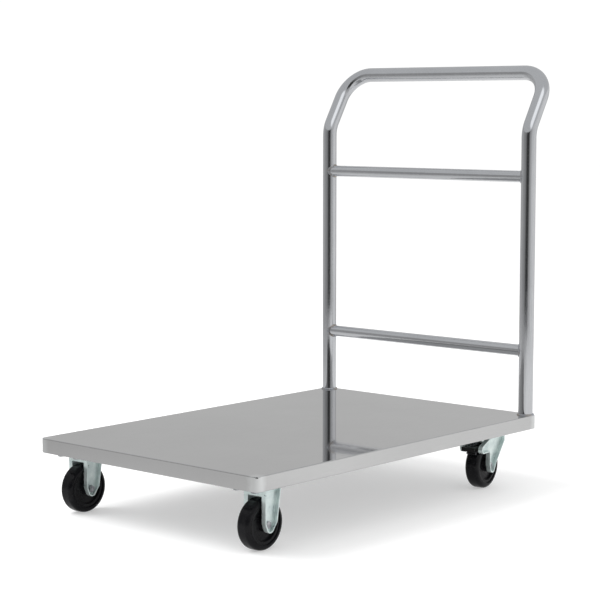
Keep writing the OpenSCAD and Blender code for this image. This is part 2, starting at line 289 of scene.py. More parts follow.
@dataclass(frozen=True)
class RolledSteel:
    """Stainless steel with a fine grain, faint smudges and a soft mirror."""

    name: str
    light: Colour
    dark: Colour
    smooth: float
    rough: float
    run: Run
    relief: float = 0.00002
    corner: tuple[float, float, float] | None = None

    def make(self) -> bpy.types.Material:
        """Builds the material."""
        mix = Recipe(self.name)
        mix.plain(Metallic=1.0)
        grain = mix.noise(mix.mapped(self.run.value), 22.0, 4.0, 0.7)
        cloud = mix.noise(mix.place, 5.0, 3.0)
        fleck = mix.noise(mix.place, 190.0, 2.0)
        share = mix.math("ADD", mix.math("MULTIPLY", grain, 0.6), mix.math("MULTIPLY", cloud, 0.4))
        colour = mix.blend(mix.spread(share, 0.36, 0.64, 0.0, 1.0), self.dark, self.light)
        if self.corner is not None:
            colour = self.ground_corners(mix, colour)
        mix.feed("Base Color", colour)
        rough = mix.spread(mix.math("ADD", share, mix.math("MULTIPLY", fleck, 0.15)),
                           0.42, 0.75, self.smooth, self.rough)
        mix.feed("Roughness", rough)
        mix.feed("Normal", mix.bump(grain, 0.12, self.relief))
        return mix.material

    def ground_corners(self, mix: Recipe, colour: Any) -> Any:
        """Paler patches where the welded corners were ground.

        Args:
            mix: The material's recipe.
            colour: The colour elsewhere.

        Returns:
            The colour with the patches.
        """
        middle, half_l, half_w = self.corner
        from_x = mix.math("SUBTRACT", half_l,
                          mix.math("ABSOLUTE", mix.math("SUBTRACT", mix.axis(mix.place, "X"), middle)))
        from_y = mix.math("SUBTRACT", half_w, mix.math("ABSOLUTE", mix.axis(mix.place, "Y")))
        reach = mix.math("MAXIMUM", from_x, from_y)
        ragged = mix.math("ADD", reach, mix.math("MULTIPLY", mix.noise(mix.place, 90.0), 0.012))
        patch = mix.spread(ragged, 0.020, 0.032, 1.0, 0.0)
        return mix.blend(patch, colour, (0.70, 0.71, 0.71))


@dataclass(frozen=True)
class ZincPlate:
    """Bright zinc plate, blue-green, with a faint cloudiness."""

    name: str
    light: Colour = (0.86, 0.95, 0.93)
    dark: Colour = (0.60, 0.70, 0.69)
    rough: float = 0.34

    def make(self) -> bpy.types.Material:
        """Builds the material."""
        mix = Recipe(self.name)
        mix.plain(Metallic=0.72)
        cloud = mix.noise(mix.place, 38.0, 4.0)
        speck = mix.noise(mix.place, 420.0, 2.0)
        mix.feed("Base Color", mix.blend(mix.spread(cloud, 0.35, 0.65, 0.0, 1.0), self.dark, self.light))
        mix.feed("Roughness", mix.spread(mix.math("ADD", cloud, mix.math("MULTIPLY", speck, 0.3)),
                                         0.45, 0.85, self.rough - 0.08, self.rough + 0.10))
        mix.feed("Normal", mix.bump(speck, 0.04, 0.0001))
        return mix.material


@dataclass(frozen=True)
class Hardware:
    """Plain dark or bright steel of bolts, nuts, springs and bearings."""

    name: str
    light: Colour
    dark: Colour
    rough: float

    def make(self) -> bpy.types.Material:
        """Builds the material."""
        mix = Recipe(self.name)
        mix.plain(Metallic=1.0)
        wear = mix.noise(mix.place, 160.0, 4.0, 0.6)
        mix.feed("Base Color", mix.blend(mix.spread(wear, 0.4, 0.62, 0.0, 1.0), self.dark, self.light))
        mix.feed("Roughness", mix.spread(wear, 0.35, 0.65, self.rough + 0.1, self.rough - 0.06))
        mix.feed("Normal", mix.bump(wear, 0.15, 0.0001))
        return mix.material


@dataclass(frozen=True)
class WeldMetal:
    """A weld bead: dull steel with straw and blue heat tints."""

    name: str

    def make(self) -> bpy.types.Material:
        """Builds the material."""
        mix = Recipe(self.name)
        mix.plain(Metallic=0.95)
        heat = mix.noise(mix.place, 85.0, 3.0)
        tint = mix.blend(mix.spread(heat, 0.38, 0.62, 0.0, 1.0), (0.40, 0.36, 0.32), (0.44, 0.46, 0.50))
        mix.feed("Base Color", tint)
        mix.feed("Roughness", mix.spread(heat, 0.3, 0.7, 0.30, 0.50))
        mix.feed("Normal", mix.bump(mix.noise(mix.place, 900.0, 2.0), 0.2, 0.0001))
        return mix.material


@dataclass(frozen=True)
class Moulding:
    """Black moulded rubber or plastic, with a fine skin and dust on it."""

    name: str
    colour: Colour
    dust: Colour
    smooth: float
    rough: float

    def make(self) -> bpy.types.Material:
        """Builds the material."""
        mix = Recipe(self.name)
        mix.plain(Metallic=0.0, IOR=1.45, Specular_IOR_Level=0.22)
        skin = mix.noise(mix.place, 700.0, 2.0)
        patch = mix.noise(mix.place, 45.0, 4.0, 0.6)
        dusty = mix.spread(patch, 0.52, 0.75, 0.0, 0.7)
        mix.feed("Base Color", mix.blend(dusty, self.colour, self.dust))
        mix.feed("Roughness", mix.spread(patch, 0.38, 0.68, self.smooth, self.rough))
        mix.feed("Normal", mix.bump(skin, 0.08, 0.0001))
        return mix.material


class Paintshop:
    """Makes each finish once and hands it out."""

    def __init__(self, deck_middle: float, deck_half_l: float, deck_half_w: float) -> None:
        """Sets up the finishes.

        Args:
            deck_middle: The deck's middle along X.
            deck_half_l: Half of the deck's length.
            deck_half_w: Half of the deck's width.
        """
        corner = (deck_middle, deck_half_l, deck_half_w)
        self.finishes: dict[Stock, Any] = {
            Stock.DECK: RolledSteel("satin_deck_steel", (0.61, 0.61, 0.61), (0.55, 0.55, 0.55),
                                    0.025, 0.06, Run.ALONG, 0.00001, corner),
            Stock.CHANNEL: RolledSteel("folded_channel_steel", (0.55, 0.56, 0.57),
                                       (0.45, 0.46, 0.47), 0.34, 0.46, Run.ACROSS),
            Stock.TUBE: RolledSteel("polished_tube_steel", (0.66, 0.67, 0.69),
                                    (0.54, 0.55, 0.57), 0.07, 0.16, Run.UPRIGHT, 0.00010),
            Stock.WELD: WeldMetal("weld_metal"),
            Stock.ZINC: ZincPlate("zinc_plate"),
            Stock.BOLT: Hardware("zinc_fastener", (0.55, 0.56, 0.58), (0.30, 0.31, 0.33), 0.36),
            Stock.BEARING: Hardware("bearing_steel", (0.80, 0.80, 0.82), (0.62, 0.62, 0.64), 0.16),
            Stock.CORE: Moulding("moulded_wheel_core", (0.006, 0.006, 0.007), (0.018, 0.018, 0.019),
                                 0.22, 0.38),
            Stock.TYRE: Moulding("glossy_tyre_rubber", (0.004, 0.004, 0.005), (0.011, 0.011, 0.012),
                                 0.12, 0.26),
            Stock.PEDAL: Moulding("brake_pedal_plastic", (0.005, 0.005, 0.005), (0.016, 0.016, 0.016),
                                  0.30, 0.46),
            Stock.SHOE: Hardware("dark_pressed_steel", (0.20, 0.20, 0.21), (0.10, 0.10, 0.11), 0.42),
        }
        self.made: dict[Stock, bpy.types.Material] = {}

    def material(self, stock: Stock) -> bpy.types.Material:
        """The material of one slot, made at its first use."""
        if stock not in self.made:
            self.made[stock] = self.finishes[stock].make()
        return self.made[stock]

    def dress(self, piece: bpy.types.Object, stock: Stock) -> None:
        """Gives a piece the material of a slot.

        Args:
            piece: A piece or a CAD node.
            stock: The slot whose finish it gets.
        """
        if piece.data.materials:
            for slot in piece.material_slots:
                slot.material = self.material(stock)
        else:
            piece.data.materials.append(self.material(stock))


# ---- modelling table ----


class Bench:
    """The steps of modelling a mesh by hand."""

    @staticmethod
    def take(*pieces: bpy.types.Object) -> None:
        """Selects these pieces and nothing else, and works on the first."""
        if bpy.context.mode != "OBJECT":
            bpy.ops.object.mode_set(mode="OBJECT")
        bpy.ops.object.select_all(action="DESELECT")
        for piece in pieces:
            piece.select_set(True)
        bpy.context.view_layer.objects.active = pieces[0]

    @staticmethod
    def clear() -> None:
        """Leaves nothing selected, ready for a new start shape."""
        if bpy.context.mode != "OBJECT":
            bpy.ops.object.mode_set(mode="OBJECT")
        bpy.ops.object.select_all(action="DESELECT")

    @staticmethod
    def named(name: str) -> bpy.types.Object:
        """Names the shape just added, and bakes its place into its mesh."""
        piece = bpy.context.active_object
        piece.name = name
        piece.data.name = name
        bpy.ops.object.transform_apply(location=True, rotation=True, scale=True)
        return piece

    @staticmethod
    def edit(piece: bpy.types.Object, kind: str) -> None:
        """Opens a piece for editing with nothing selected.

        Args:
            piece: The piece.
            kind: VERT, EDGE or FACE.
        """
        Bench.take(piece)
        bpy.ops.object.mode_set(mode="EDIT")
        bpy.ops.mesh.select_mode(type=kind)
        bpy.ops.mesh.select_all(action="DESELECT")

    @staticmethod
    def pick_faces(piece: bpy.types.Object, test: Callable[[Vector, Vector], bool]) -> None:
        """Selects the faces that pass a test, and no others.

        Args:
            piece: The piece that is open for editing.
            test: Gets a face's middle and its normal.
        """
        mesh = bmesh.from_edit_mesh(piece.data)
        mesh.normal_update()
        picked = [f for f in mesh.faces if test(f.calc_center_median(), f.normal)]
        bpy.ops.mesh.select_all(action="DESELECT")
        for face in picked:
            face.select_set(True)
        bmesh.update_edit_mesh(piece.data)

    @staticmethod
    def pick_edges(piece: bpy.types.Object, test: Callable[[Vector, Vector], bool]) -> None:
        """Selects the edges that pass a test, and no others.

        Args:
            piece: The piece that is open for editing.
            test: Gets an edge's two ends.
        """
        mesh = bmesh.from_edit_mesh(piece.data)
        picked = [e for e in mesh.edges if test(e.verts[0].co, e.verts[1].co)]
        bpy.ops.mesh.select_all(action="DESELECT")
        for edge in picked:
            edge.select_set(True)
        bmesh.update_edit_mesh(piece.data)

    @staticmethod
    def push(move: Vector) -> None:
        """Extrudes what is selected by a move."""
        bpy.ops.mesh.extrude_region_move(TRANSFORM_OT_translate={"value": tuple(move)})

    @staticmethod
    def modifier(piece: bpy.types.Object, kind: str, **values: Any) -> None:
        """Adds a modifier and applies it.

        Args:
            piece: The piece.
            kind: The modifier's type.
            values: The modifier's settings.
        """
        Bench.take(piece)
        step = piece.modifiers.new(kind.lower(), kind)
        for name, value in values.items():
            setattr(step, name, value)
        bpy.ops.object.modifier_apply(modifier=step.name)

    @staticmethod
    def smooth(piece: bpy.types.Object, angle: float = 35.0) -> None:
        """Shades a piece smooth but for its sharp edges, and lets large faces lead."""
        Bench.take(piece)
        bpy.ops.object.shade_smooth_by_angle(angle=math.radians(angle))
        Bench.modifier(piece, "WEIGHTED_NORMAL", keep_sharp=True, weight=60)

    @staticmethod
    def outward(piece: bpy.types.Object) -> None:
        """Merges doubles and points every face outwards."""
        Bench.edit(piece, "FACE")
        bpy.ops.mesh.select_all(action="SELECT")
        bpy.ops.mesh.remove_doubles(threshold=DOUBLES)
        bpy.ops.mesh.normals_make_consistent(inside=False)
        bpy.ops.object.mode_set(mode="OBJECT")

    @staticmethod
    def eased(source: bpy.types.Object, name: str, width: float) -> bpy.types.Object:
        """A copy of a CAD node with its sharp edges eased, as a press or a file leaves them.

        Args:
            source: The CAD node.
            name: The new piece's name.
            width: The width of the eased edges.

        Returns:
            The new piece.
        """
        piece = source.copy()
        piece.data = source.data.copy()
        piece.name = name
        piece.data.name = name
        piece.parent = None
        piece.matrix_world = Matrix.Identity(4)
        for key in list(piece.keys()):
            del piece[key]
        bpy.context.scene.collection.objects.link(piece)
        piece.hide_render = False
        if piece.data.has_custom_normals:
            Bench.take(piece)
            bpy.ops.mesh.customdata_custom_splitnormals_clear()
        Bench.edit(piece, "FACE")
        bpy.ops.mesh.select_all(action="SELECT")
        bpy.ops.mesh.remove_doubles(threshold=DOUBLES)
        bpy.ops.mesh.dissolve_limited(angle_limit=math.radians(1.0))
        bpy.ops.object.mode_set(mode="OBJECT")
        Bench.modifier(piece, "BEVEL", width=width, segments=2, limit_method="ANGLE",
                       angle_limit=math.radians(40.0), use_clamp_overlap=True)
        Bench.smooth(piece)
        return piece

    @staticmethod
    def copy(piece: bpy.types.Object, name: str, place: Matrix) -> bpy.types.Object:
        """A copy of a finished piece with its own mesh, put in a new place.

        Args:
            piece: The piece that is copied.
            name: The copy's name.
            place: The copy's place, which is baked into its mesh.

        Returns:
            The copy.
        """
        new = piece.copy()
        new.data = piece.data.copy()
        new.name = name
        new.data.name = name
        bpy.context.scene.collection.objects.link(new)
        new.data.transform(place)
        return new


@dataclass
class Shop:
    """What every sub-assembly works with."""

    frame: dict[str, Any]
    paint: Paintshop

    def mount(self, piece: bpy.types.Object, body: str, stock: Stock, *nodes: str) -> None:
        """Dresses a new piece, makes it ride on a body, and lets it stand for CAD nodes.

        Args:
            piece: The new piece.
            body: The body it moves with.
            stock: The slot of its finish.
            nodes: The CAD nodes it stands for.
        """
        self.paint.dress(piece, stock)
        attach(piece, body)
        if nodes:
            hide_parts(*nodes)
        LOG.info("%s rides on %s", piece.name, body)

    def keep(self, node: str, stock: Stock) -> None:
        """Keeps a CAD node as it is, with a better finish."""
        self.paint.dress(self.frame["nodes"][node], stock)
        LOG.info("%s kept", node)

    def ease(self, node: str, body: str, stock: Stock, width: float) -> None:
        """Replaces a CAD node by a copy with eased edges.

        Args:
            node: The CAD node.
            body: The body it moves with.
            stock: The slot of its finish.
            width: The width of the eased edges.
        """
        piece = Bench.eased(self.frame["nodes"][node], node + "_finished", width)
        self.mount(piece, body, stock, node)


# ---- deck ----


@dataclass
class Deck:
    """The folded sheet deck and the channels under it."""

    shop: Shop
    sheet: float = 0.0015
    lip: float = 0.010
    corner: float = 0.012
    fold: float = 0.0022
    relief_r: float = 0.003
    relief_depth: float = 0.006
    relief_drop: float = 0.0024
    relief_flat: float = 0.42
    relief_inset: float = 0.29
    low: Vector = field(init=False)
    high: Vector = field(init=False)

    def __post_init__(self) -> None:
        """Takes the deck's place from the CAD."""
        self.low, self.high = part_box("deck_tray")

    def build(self) -> None:
        """Models the deck and dresses it and its channels."""
        self.shop.mount(self.tray(), "frame", Stock.DECK, "deck_tray")
        for place in ("front", "centre", "rear"):
            self.shop.ease(place + "_channel", "frame", Stock.CHANNEL, 0.0006)

    def tray(self) -> bpy.types.Object:
        """The deck: a block, hollowed from below, its rim turned in and its folds rounded.

        Returns:
            The deck's piece.
        """
        Bench.clear()
        size = self.high - self.low
        bpy.ops.mesh.primitive_cube_add(size=1.0, location=(self.low + self.high) / 2, scale=size)
        tray = Bench.named("deck_sheet")
        Bench.edit(tray, "EDGE")
        Bench.pick_edges(tray, lambda a, b: abs(a.z - b.z) > 0.01)
        bpy.ops.mesh.bevel(offset=self.corner, segments=10, affect="EDGES")
        bpy.ops.mesh.select_mode(type="FACE")
        Bench.pick_faces(tray, lambda c, n: n.z < -FACING)
        bpy.ops.mesh.inset(thickness=self.sheet, use_even_offset=True)
        Bench.push(Vector((0.0, 0.0, size.z - self.sheet)))
        self.turn_in_rim(tray)
        self.round_folds(tray)
        bpy.ops.object.mode_set(mode="OBJECT")
        Bench.outward(tray)
        self.relieve_corners(tray)
        Bench.smooth(tray, 30.0)
        return tray

    def inside(self, point: Vector) -> bool:
        """Whether a point is on the hollow side of the rim."""
        edge = self.sheet / 2
        in_x = self.low.x + edge < point.x < self.high.x - edge
        in_y = self.low.y + edge < point.y < self.high.y - edge
        away = Vector((min(point.x - self.low.x, self.high.x - point.x) - self.corner,
                       min(point.y - self.low.y, self.high.y - point.y) - self.corner))
        if away.x < 0 and away.y < 0:
            return away.length < self.corner - edge
        return in_x and in_y

    def turn_in_rim(self, tray: bpy.types.Object) -> None:
        """Turns the rim's lower edge in to a lip, by extruding the lowest band of the hollow."""
        cut = self.low.z + self.sheet
        bpy.ops.mesh.select_mode(type="FACE")
        Bench.pick_faces(tray, lambda c, n: abs(n.z) < 0.1 and self.inside(c))
        bpy.ops.mesh.bisect(plane_co=(0.0, 0.0, cut), plane_no=(0.0, 0.0, 1.0))
        bpy.ops.mesh.select_mode(type="FACE")
        Bench.pick_faces(tray, lambda c, n: abs(n.z) < 0.1 and c.z < cut and self.inside(c))
        bpy.ops.mesh.extrude_region_shrink_fatten(
            TRANSFORM_OT_shrink_fatten={"value": self.lip - self.sheet, "use_even_offset": True})

    def round_folds(self, tray: bpy.types.Object) -> None:
        """Rounds the fold round the top and the one round the bottom of the rim."""
        bpy.ops.mesh.select_mode(type="EDGE")
        Bench.pick_edges(tray, lambda a, b: min(a.z, b.z) > self.high.z - TINY)
        bpy.ops.mesh.bevel(offset=self.fold, segments=4, affect="EDGES")
        Bench.pick_edges(tray, lambda a, b: max(a.z, b.z) < self.low.z + TINY
                         and not self.inside(a) and not self.inside(b))
        bpy.ops.mesh.bevel(offset=self.fold * 0.6, segments=3, affect="EDGES")

    def relieve_corners(self, tray: bpy.types.Object) -> None:
        """Cuts the small relief that a press brake leaves at the top of each corner."""
        for sx in (-1, 1):
            for sy in (-1, 1):
                x = (self.low.x if sx < 0 else self.high.x) - sx * self.corner * self.relief_inset
                y = (self.low.y if sy < 0 else self.high.y) - sy * self.corner * self.relief_inset
                Bench.clear()
                bpy.ops.mesh.primitive_cylinder_add(
                    vertices=20, radius=self.relief_r, depth=self.relief_depth,
                    location=(x, y, self.high.z - self.relief_drop),
                    rotation=(math.radians(90), 0.0, math.atan2(sy, sx) + math.radians(90)),
                    scale=(1.0, self.relief_flat, 1.0))
                cutter = Bench.named("relief_cutter")
                Bench.modifier(tray, "BOOLEAN", object=cutter, operation="DIFFERENCE",
                               solver="EXACT")
                bpy.data.objects.remove(cutter)


# ---- push handle ----


@dataclass
class PushHandle:
    """The bent tube, its two crossbars and the weld beads."""

    shop: Shop
    radius: float = 0.01595
    wall: float = 0.0015
    post_x: float = 0.396
    post_y: float = 0.281
    deck_z: float = 0.155
    kick_z: float = 0.773
    grip: Vector = field(default_factory=lambda: Vector((0.471, 0.0, 0.897)))
    kick_bend: float = 0.060
    grip_bend: float = 0.064
    bar_radius: float = 0.0125
    bar_heights: tuple[float, float] = (0.295, 0.673)
    bead_r: float = 0.0024
    deck_gap: float = 0.0002

    def build(self) -> None:
        """Models the tube and the beads, and dresses the crossbars."""
        self.shop.mount(self.tube(), "frame", Stock.TUBE, "handle_tube")
        for node in ("upper_crossbar", "lower_crossbar"):
            self.shop.keep(node, Stock.TUBE)
        self.shop.mount(self.bar_beads(), "frame", Stock.WELD, "crossbar_welds")
        self.shop.mount(self.post_beads(), "frame", Stock.WELD, "post_welds")

    def tube(self) -> bpy.types.Object:
        """Half of the tube, drawn up from the deck through its two bends, then mirrored.

        Returns:
            The whole tube, with its wall.
        """
        out = self.grip.x - self.post_x
        rise = self.grip.z - self.kick_z
        lean = math.atan2(out, rise)
        along = Vector((math.sin(lean), 0.0, math.cos(lean)))
        cut = self.kick_bend * math.tan(lean / 2)
        Bench.clear()
        bpy.ops.mesh.primitive_circle_add(vertices=56, radius=self.radius, fill_type="NOTHING",
                                          location=(self.post_x, self.post_y, self.deck_z))
        tube = Bench.named("push_handle")
        Bench.edit(tube, "EDGE")
        bpy.ops.mesh.select_all(action="SELECT")
        straight = self.kick_z - cut - self.deck_z
        for _ in range(4):
            Bench.push(Vector((0.0, 0.0, straight / 4)))
        bpy.ops.mesh.spin(steps=10, angle=-lean, axis=(0.0, 1.0, 0.0),
                          center=(self.post_x + self.kick_bend, self.post_y, self.kick_z - cut))
        run = math.hypot(out, rise) - cut - self.grip_bend
        Bench.push(along * run)
        middle = Vector((self.post_x, self.post_y, self.kick_z)) + along * (cut + run)
        spin_axis = along.cross(Vector((0.0, -1.0, 0.0)))
        bpy.ops.mesh.spin(steps=20, angle=-math.radians(90), axis=tuple(spin_axis),
                          center=tuple(middle - Vector((0.0, self.grip_bend, 0.0))))
        Bench.push(Vector((0.0, -(self.post_y - self.grip_bend), 0.0)))
        Bench.outward(tube)
        Bench.modifier(tube, "MIRROR", use_axis=(False, True, False), merge_threshold=0.0001)
        Bench.outward(tube)
        Bench.modifier(tube, "SOLIDIFY", thickness=self.wall, offset=-1.0)
        Bench.smooth(tube, 40.0)
        return tube

    def bead(self, name: str, ring: float, thick: float) -> bpy.types.Object:
        """A rippled ring of weld, lying round the Z axis.

        Args:
            name: The ring's name.
            ring: The radius of its middle line.
            thick: The radius of the bead itself.

        Returns:
            The ring.
        """
        Bench.clear()
        bpy.ops.mesh.primitive_torus_add(major_radius=ring, minor_radius=thick,
                                         major_segments=120, minor_segments=12)
        bead = Bench.named(name)
        for vertex in bead.data.vertices:
            turn = math.atan2(vertex.co.y, vertex.co.x)
            middle = Vector((math.cos(turn), math.sin(turn), 0.0)) * ring
            ripple = 1.0 + 0.16 * abs(math.sin(12.0 * turn)) + 0.07 * math.sin(5.0 * turn + 1.0)
            vertex.co = middle + (vertex.co - middle) * (ripple / 1.2)
        return bead

    def bar_beads(self) -> bpy.types.Object:
        """The beads where the crossbars meet the posts, saddled to the tube.

        Returns:
            All four beads as one piece.
        """
        beads = []
        for height in self.bar_heights:
            for side in (-1, 1):
                bead = self.bead("bar_bead", self.bar_radius + 0.0006, self.bead_r)
                for vertex in bead.data.vertices:
                    x, z, y = vertex.co
                    saddle = math.sqrt(max(self.radius ** 2 - x ** 2, 0.0))
                    vertex.co = (self.post_x + x, side * (self.post_y - saddle - y * 0.8 - 0.0006),
                                 height + z)
                beads.append(bead)
        return self.joined(beads, "crossbar_beads")

    def post_beads(self) -> bpy.types.Object:
        """The beads round the feet of the posts, kept on the deck.

        Returns:
            Both beads as one piece.
        """
        edge_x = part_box("deck_tray")[1].x - self.deck_gap
        edge_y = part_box("deck_tray")[1].y - self.deck_gap
        beads = []
        for side in (-1, 1):
            bead = self.bead("post_bead", self.radius + 0.0007, self.bead_r)
            for vertex in bead.data.vertices:
                x, y, z = vertex.co
                out = min(self.post_y + y * side, edge_y)
                vertex.co = (min(self.post_x + x, edge_x), side * out,
                             self.deck_z + max(z, -0.0004) * 1.3)
            beads.append(bead)
        return self.joined(beads, "post_foot_beads")

    @staticmethod
    def joined(beads: list[bpy.types.Object], name: str) -> bpy.types.Object:
        """Joins beads into one piece.

        Args:
            beads: The beads.
            name: The piece's name.

        Returns:
            The piece.
        """
        Bench.take(*beads)
        bpy.ops.object.join()
        piece = bpy.context.active_object
        piece.name = name
        piece.data.name = name
        Bench.outward(piece)
        Bench.smooth(piece, 60.0)
        return piece


# ---- casters ----


@dataclass
class Wheel:
    """One wheel's tyre, modelled about its axle and then put in place."""

    shop: Shop
    radius: float = 0.050
    width: float = 0.032
    bore: float = 0.038
    bore_width: float = 0.028
    shoulder: float = 0.009
    groove: float = 0.0005
    hub: float = 0.001
    pattern: bpy.types.Object | None = None

    def tyre(self) -> bpy.types.Object:
        """The tyre: a drum with round shoulders, a groove on each side and a bore.

        Returns:
            The tyre, about the origin with its axle along Y.
        """
        Bench.clear()
        bpy.ops.mesh.primitive_cylinder_add(vertices=96, radius=self.radius, depth=self.width,
                                            rotation=(math.radians(90), 0.0, 0.0))
        tyre = Bench.named("tyre_pattern")
        Bench.edit(tyre, "EDGE")
        Bench.pick_edges(tyre, lambda a, b: abs(a.y - b.y) < TINY)
        bpy.ops.mesh.bevel(offset=self.shoulder, segments=7, affect="EDGES")
        bpy.ops.mesh.select_mode(type="FACE")
        for side in (-1, 1):
            self.shape_side(tyre, side)
        Bench.pick_faces(tyre, lambda c, n: abs(n.y) > FACING and math.hypot(c.x, c.z) < self.hub)
        bpy.ops.mesh.bridge_edge_loops()
        bpy.ops.object.mode_set(mode="OBJECT")
        Bench.outward(tyre)
        Bench.smooth(tyre, 32.0)
        return tyre

    def shape_side(self, tyre: bpy.types.Object, side: int) -> None:
        """Cuts the moulded groove and the recess for the core into one side.

        Args:
            tyre: The tyre, open for editing.
            side: -1 or 1 along the axle.
        """
        flat = self.radius - self.shoulder - self.bore
        recess = (self.width - self.bore_width) / 2
        steps = ((0.07, 0.0), (0.03, -self.groove), (0.13, 0.0), (0.03, self.groove),
                 (0.27, 0.0), (0.07, -recess), (0.40, 0.0))
        Bench.pick_faces(
            tyre, lambda c, n: n.y * side > FACING and math.hypot(c.x, c.z) < self.hub)
        for share, move in steps:
            bpy.ops.mesh.inset(thickness=share * flat)
            if move:
                bpy.ops.transform.translate(value=(0.0, side * move, 0.0))

    def place(self, name: str, body: str, node: str, axle: Vector, turn: float) -> None:
        """Puts a copy of the tyre on its axle.

        Args:
            name: The copy's name.
            body: The body it rolls with.
            node: The CAD node it stands for.
            axle: The middle of the axle.
            turn: The axle's turn about Z, in radians.
        """
        if self.pattern is None:
            self.pattern = self.tyre()
        where = Matrix.Translation(axle) @ Matrix.Rotation(turn, 4, "Z")
        self.shop.mount(Bench.copy(self.pattern, name, where), body, Stock.TYRE, node)

    def clean_up(self) -> None:
        """Removes the pattern that the tyres were copied from."""
        if self.pattern is not None:
            bpy.data.objects.remove(self.pattern)
            self.pattern = None


@dataclass
class RigidCaster:
    """A front caster: its plate, fork, axle and wheel."""

    shop: Shop
    wheel: Wheel
    hand: Hand
    pressed_edge: float = 0.0009
    sheared_edge: float = 0.0004

    def build(self) -> None:
        """Dresses the caster's pieces."""
        start = f"front_{self.hand.word}_"
        low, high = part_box(start + "tyre")
        self.wheel.place(start + "tyre_moulded", start + "wheel", start + "tyre", (low + high) / 2, 0.0)
        self.shop.keep(start + "wheel_core", Stock.CORE)
        self.shop.ease(start + "fork", "frame", Stock.ZINC, self.pressed_edge)
        self.shop.ease(start + "plate", "frame", Stock.ZINC, self.sheared_edge)
        self.shop.ease(start + "axle_bolt", "frame", Stock.BOLT, self.sheared_edge)
        self.shop.ease(start + "axle_nut", "frame", Stock.BOLT, self.sheared_edge)
        self.shop.keep(start + "bush", Stock.BEARING)


@dataclass
class SwivelCaster:
    """A rear caster: its plate, swivel head, fork, axle, wheel and foot brake."""

    shop: Shop
    wheel: Wheel
    hand: Hand
    rest_turn: float = math.radians(7)
    pressed_edge: float = 0.0009
    sheared_edge: float = 0.0004
    nut_edge: float = 0.0005
    pedal_edge: float = 0.0011

    def build(self) -> None:
        """Dresses the caster's pieces."""
        start = f"rear_{self.hand.word}_"
        swivel = start + "swivel"
        low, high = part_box(start + "tyre")
        self.wheel.place(start + "tyre_moulded", start + "wheel", start + "tyre", (low + high) / 2,
                         -self.hand.value * self.rest_turn)
        self.shop.keep(start + "wheel_core", Stock.CORE)
        self.shop.ease(start + "plate", "frame", Stock.ZINC, self.sheared_edge)
        self.shop.keep(start + "race_cup", Stock.ZINC)
        self.shop.keep(start + "kingpin", Stock.BEARING)
        self.shop.ease(start + "kingpin_nut", "frame", Stock.BOLT, self.nut_edge)
        self.shop.keep(start + "balls", Stock.BEARING)
        self.shop.ease(start + "fork", swivel, Stock.ZINC, self.pressed_edge)
        self.shop.ease(start + "axle_bolt", swivel, Stock.BOLT, self.sheared_edge)
        self.shop.ease(start + "axle_nut", swivel, Stock.BOLT, self.sheared_edge)
        self.shop.keep(start + "bush", Stock.BEARING)
        self.shop.keep(start + "brake_pin", Stock.BOLT)
        self.shop.keep(start + "brake_spring", Stock.SHOE)
        self.shop.ease(start + "brake_pedal", start + "brake", Stock.PEDAL, self.pedal_edge)
        self.shop.keep(start + "brake_shoe", Stock.SHOE)


@dataclass
class Fasteners:
    """The bolts, washers and nuts that hold the casters."""

    shop: Shop
    edge: float = 0.0004

    def build(self) -> None:
        """Dresses the fasteners."""
        self.shop.ease("caster_bolts", "frame", Stock.BOLT, self.edge)
        self.shop.keep("caster_washers", Stock.BOLT)
        self.shop.ease("caster_nuts", "frame", Stock.BOLT, self.edge)


# ---- studio ----


